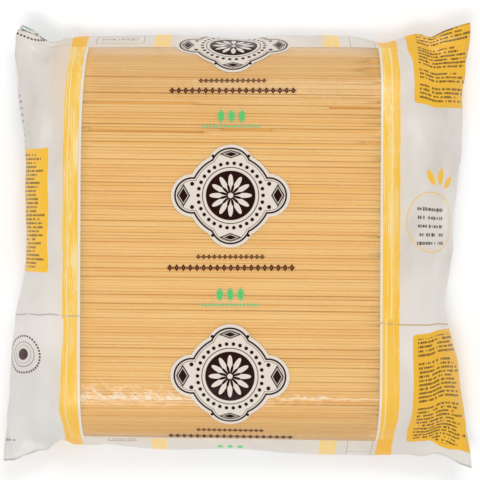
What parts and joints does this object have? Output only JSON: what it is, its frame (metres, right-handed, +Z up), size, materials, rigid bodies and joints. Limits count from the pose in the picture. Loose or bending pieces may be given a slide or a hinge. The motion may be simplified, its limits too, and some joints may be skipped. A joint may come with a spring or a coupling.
{
  "type": "bag of dry spaghetti",
  "caption": "Flat pillow bag of dry spaghetti: a clear window over parallel strands between two printed ends, with crimped end seals and pointed corner ears.",
  "frame": {"origin": "on the table under the centre of the pack's outline", "axes": "+X along the strands, +Y across them, +Z up out of the window"},
  "size_m": [0.404, 0.3852, 0.0644],
  "materials": {
    "pasta": "dry matt semolina dough",
    "clear_film": "glossy clear polypropylene film",
    "printed_film": "satin off-white print with yellow stripes on polypropylene film"
  },
  "bodies": {
    "root": {"spaghetti_pack": "pasta"}
  },
  "joints": []
}
